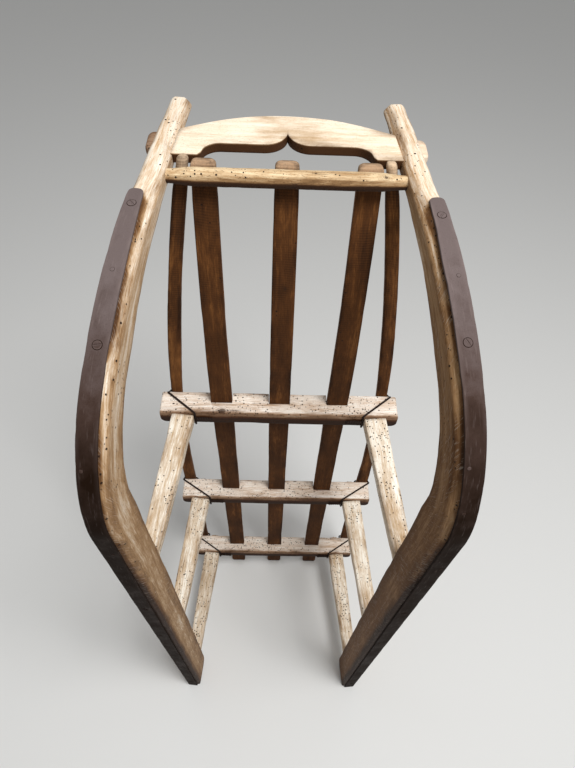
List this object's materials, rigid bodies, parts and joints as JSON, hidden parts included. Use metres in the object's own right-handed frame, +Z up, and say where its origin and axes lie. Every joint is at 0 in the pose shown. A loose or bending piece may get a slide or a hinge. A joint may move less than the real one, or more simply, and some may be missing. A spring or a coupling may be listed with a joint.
{
  "type": "wooden sled",
  "caption": "Old wooden sled with upswept horned runners, iron shoes, crossbeams on splayed posts, slatted deck and a carved front board, standing on its tail.",
  "frame": {"origin": "on the floor, at the middle of the footprint of the overall box, with the sled standing on its tail", "axes": "+Z up, along the sled towards its front; X across the sled; -Y faces the way the runner soles face, +Y the way the deck faces"},
  "size_m": [0.366, 0.4366, 1.1091],
  "materials": {
    "pale_wood": "weathered bare wood",
    "board_wood": "smooth bare wood",
    "beam_wood": "worm-eaten bare wood",
    "rod_wood": "worn bare wood",
    "dark_wood": "aged dark wood",
    "shoe_iron": "rusted and worn bright",
    "wire_iron": "black annealed wire"
  },
  "bodies": {
    "root": {"crossbeam_front": "beam_wood", "crossbeam_middle": "beam_wood", "crossbeam_rear": "beam_wood", "deck_slat_left": "dark_wood", "deck_slat_middle": "dark_wood", "deck_slat_right": "dark_wood", "front_board": "board_wood", "front_rod": "rod_wood", "iron_shoe_left": "shoe_iron", "iron_shoe_right": "shoe_iron", "post_front_left": "pale_wood", "post_front_right": "pale_wood", "post_middle_left": "pale_wood", "post_middle_right": "pale_wood", "post_rear_left": "pale_wood", "post_rear_right": "pale_wood", "runner_left": "pale_wood", "runner_right": "pale_wood", "side_rail_left": "dark_wood", "side_rail_right": "dark_wood", "wire_lashing_front_left": "wire_iron", "wire_lashing_front_right": "wire_iron", "wire_lashing_middle_left": "wire_iron", "wire_lashing_middle_right": "wire_iron", "wire_lashing_rear_left": "wire_iron", "wire_lashing_rear_right": "wire_iron"}
  },
  "joints": []
}
